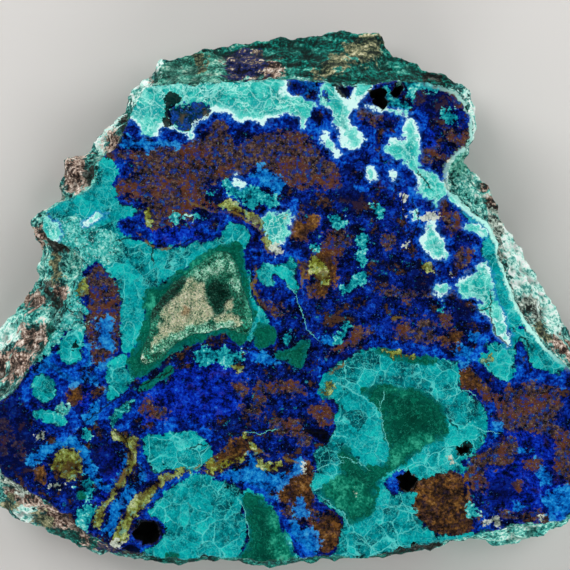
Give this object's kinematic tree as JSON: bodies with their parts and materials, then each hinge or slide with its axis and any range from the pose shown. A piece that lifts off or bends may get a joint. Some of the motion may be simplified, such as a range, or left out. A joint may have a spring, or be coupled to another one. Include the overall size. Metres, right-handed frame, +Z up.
{
  "type": "azurite malachite slice",
  "caption": "Thick slice of azurite, chrysocolla and malachite ore with a flat polished face, a rough broken rim and a small hollow lined with green crystals, lying on its flat sawn back.",
  "frame": {"origin": "centre of the footprint, on the flat sawn back that the slice rests on", "axes": "+Z up out of the polished face; +X along the longest side, towards the picture's right; +Y towards the picture's top"},
  "size_m": [0.122, 0.104, 0.022],
  "materials": {
    "polished_ore": "polished flat face in blue azurite, turquoise chrysocolla, green malachite and brown matrix, with a rough natural rim and a matt sawn back",
    "malachite_crystals": "sugary pale green druse of tiny crystals"
  },
  "bodies": {
    "root": {"slice": "polished_ore", "malachite_druse": "malachite_crystals"}
  },
  "joints": []
}
